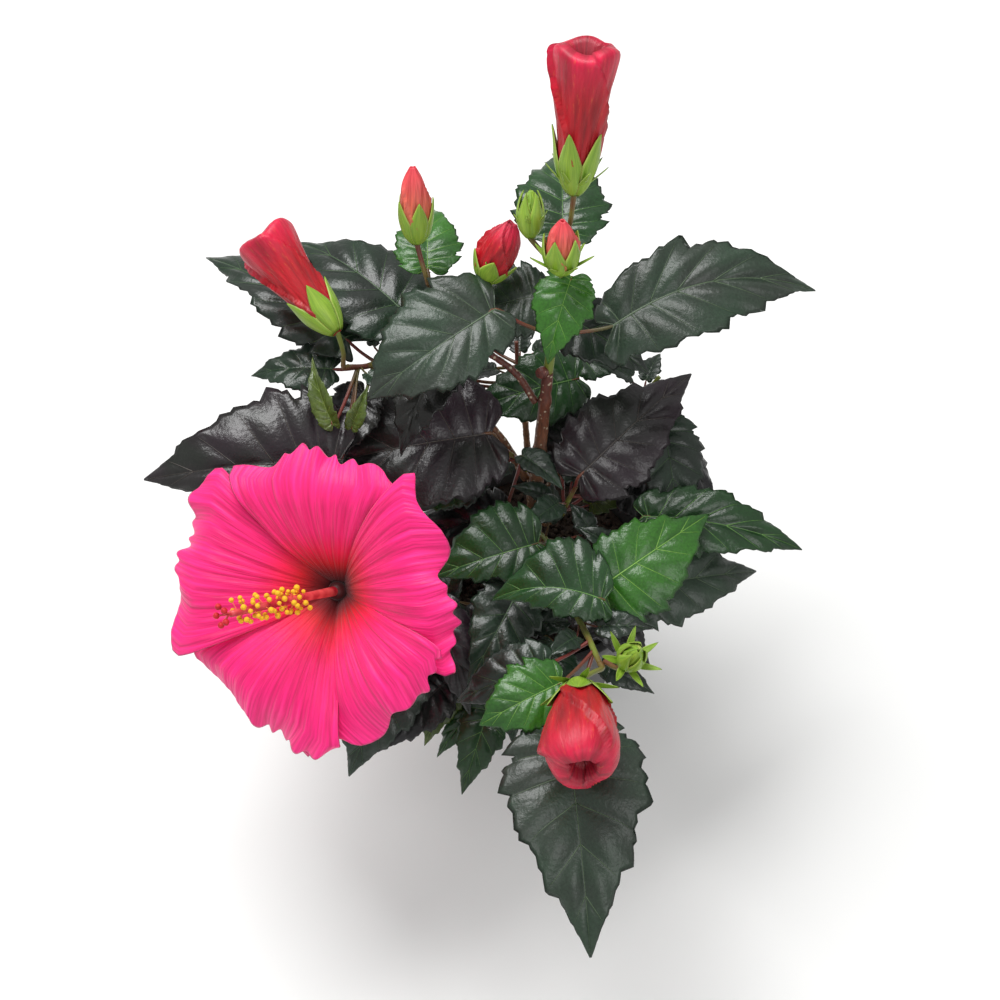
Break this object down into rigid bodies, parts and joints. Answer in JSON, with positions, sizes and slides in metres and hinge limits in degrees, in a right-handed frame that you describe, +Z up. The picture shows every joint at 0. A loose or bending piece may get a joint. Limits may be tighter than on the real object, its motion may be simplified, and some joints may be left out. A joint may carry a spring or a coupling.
{
  "type": "potted hibiscus",
  "caption": "Small flowering shrub with dark toothed leaves, an open pink bloom and furled red buds, standing in a plain round tapered pot of soil.",
  "frame": {"origin": "middle of the pot's flat underside", "axes": "+Z up along the pot's axis, +X to the right and +Y away from the onlooker of the picture"},
  "size_m": [0.3113, 0.3414, 0.3813],
  "materials": {
    "pot": "satin",
    "soil": "matte",
    "bark": "satin",
    "leaf": "satin",
    "petal": "satin",
    "bud": "satin"
  },
  "bodies": {
    "root": {"pot": "pot", "soil": "soil", "trunk": "bark", "bough_left": "bark", "bough_upper_left": "bark", "bough_right": "bark", "bough_upper_right": "bark", "bough_front": "bark", "bough_bloom": "bark", "bough_back": "bark", "bough_back_right": "bark", "foliage_crown": "leaf", "foliage_upper_left": "leaf", "foliage_left": "leaf", "foliage_inner_left": "leaf", "foliage_upper_right": "leaf", "foliage_middle": "leaf", "foliage_right": "leaf", "foliage_front": "leaf", "foliage_lower_left": "leaf", "foliage_lower_front": "leaf", "foliage_back": "leaf", "foliage_back_right": "leaf", "bloom_open": "petal", "bud_tall": "bud", "bud_left": "bud", "bud_front": "bud", "bud_upright": "bud", "bud_red": "bud", "bud_green": "bud", "bud_pink": "bud", "bud_lime": "bud"}
  },
  "joints": []
}
